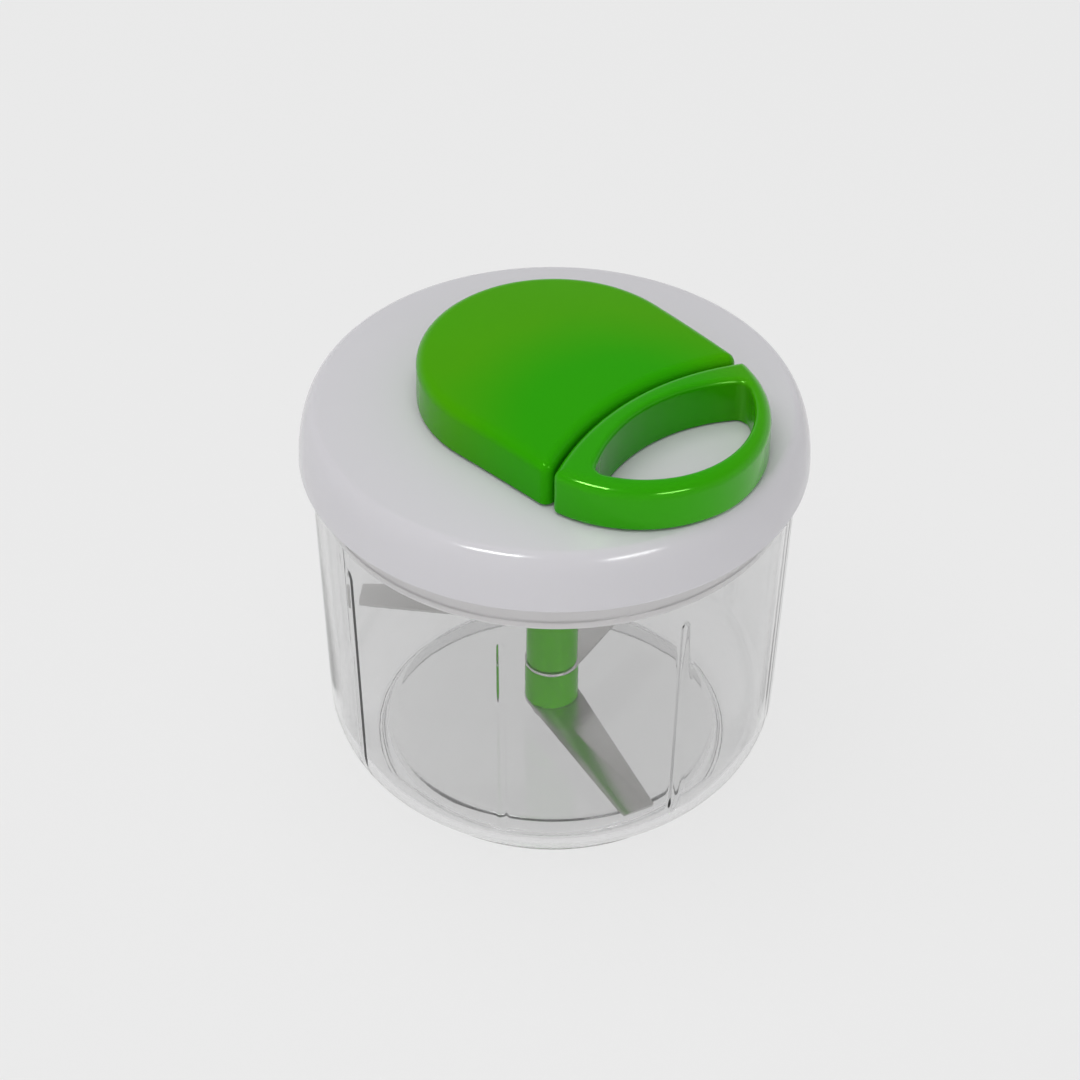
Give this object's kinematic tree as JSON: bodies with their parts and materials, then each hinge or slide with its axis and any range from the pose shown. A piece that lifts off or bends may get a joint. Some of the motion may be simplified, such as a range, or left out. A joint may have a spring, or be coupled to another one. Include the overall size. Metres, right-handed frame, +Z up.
{
  "type": "food chopper",
  "caption": "Hand food chopper with a clear ribbed bowl, a white press-on lid, a green pull-cord housing with a ring handle, and a stacked hub of steel blades.",
  "frame": {"origin": "on the table under the middle of the bowl, on the axis that the hub turns about", "axes": "+Z up along the hub axis, +X the way the ring handle is pulled"},
  "size_m": [0.128, 0.128, 0.1251],
  "materials": {
    "clear_plastic": "clear, glossy",
    "white_plastic": "semi-gloss",
    "green_plastic": "glossy",
    "blade_steel": "satin",
    "small_steel": "bright",
    "grey_plastic": "matt",
    "silicone": "matt",
    "cord": "braided"
  },
  "bodies": {
    "bowl": {"bowl": "clear_plastic", "pivot_pin": "small_steel"},
    "blade_unit": {"hub_spindle": "white_plastic", "lower_sleeve": "green_plastic", "middle_sleeve": "green_plastic", "upper_sleeve": "green_plastic", "lower_blade": "blade_steel", "middle_blade": "blade_steel", "upper_blade": "blade_steel"},
    "lid": {"lid_shell": "white_plastic", "lid_cover": "white_plastic", "lid_seal": "silicone", "housing": "green_plastic", "cord_eyelet": "small_steel", "reel_axle": "small_steel", "recoil_spring": "small_steel", "thrust_washer": "grey_plastic", "cord_run": "cord", "housing_screw_1": "small_steel", "housing_screw_2": "small_steel", "housing_screw_3": "small_steel", "housing_screw_4": "small_steel", "cover_screw_1": "small_steel", "cover_screw_2": "small_steel", "cover_screw_3": "small_steel"},
    "reel": {"cord_reel": "grey_plastic", "cord_winding": "cord"},
    "pawl_front": {"pawl_front": "small_steel"},
    "pawl_rear": {"pawl_rear": "small_steel"},
    "drive": {"ratchet_wheel": "small_steel", "drive_socket": "grey_plastic", "drive_screw": "small_steel"},
    "handle": {"pull_handle": "green_plastic", "cord_knot": "small_steel", "knot_cover": "green_plastic"}
  },
  "joints": [
    {"name": "lid_lift", "type": "slide", "parent": "bowl", "child": "lid", "axis": [0, 0, 1], "range_m": [0, 0.12]},
    {"name": "blade_spin", "type": "hinge", "parent": "bowl", "child": "blade_unit", "pos_m": [0, 0, 0.02], "axis": [0, 0, 1], "continuous": true},
    {"name": "handle_pull", "type": "slide", "parent": "lid", "child": "handle", "axis": [1, 0, 0], "range_m": [0, 0.28], "stiffness_N_per_m": 12, "springref_m": -0.2},
    {"name": "reel_spin", "type": "hinge", "parent": "lid", "child": "reel", "pos_m": [0, 0, 0.115], "axis": [0, 0, 1], "range_deg": [0, 975]},
    {"name": "drive_spin", "type": "hinge", "parent": "lid", "child": "drive", "pos_m": [0, 0, 0.1], "axis": [0, 0, 1], "continuous": true},
    {"name": "pawl_front_swing", "type": "hinge", "parent": "reel", "child": "pawl_front", "pos_m": [0.0105, 0, 0.1145], "axis": [0, 0, -1], "range_deg": [0, 14], "stiffness_Nm_per_rad": 0.0002},
    {"name": "pawl_rear_swing", "type": "hinge", "parent": "reel", "child": "pawl_rear", "pos_m": [-0.0105, 0, 0.1145], "axis": [0, 0, -1], "range_deg": [0, 14], "stiffness_Nm_per_rad": 0.0002}
  ],
  "couplings": [
    {"joint": "reel_spin", "follows": "handle_pull", "rad_per_m": 60.606},
    {"joint": "drive_spin", "follows": "handle_pull", "rad_per_m": 60.606},
    {"joint": "blade_spin", "follows": "handle_pull", "rad_per_m": 60.606},
    {"joint": "pawl_rear_swing", "follows": "pawl_front_swing", "ratio": 1}
  ]
}
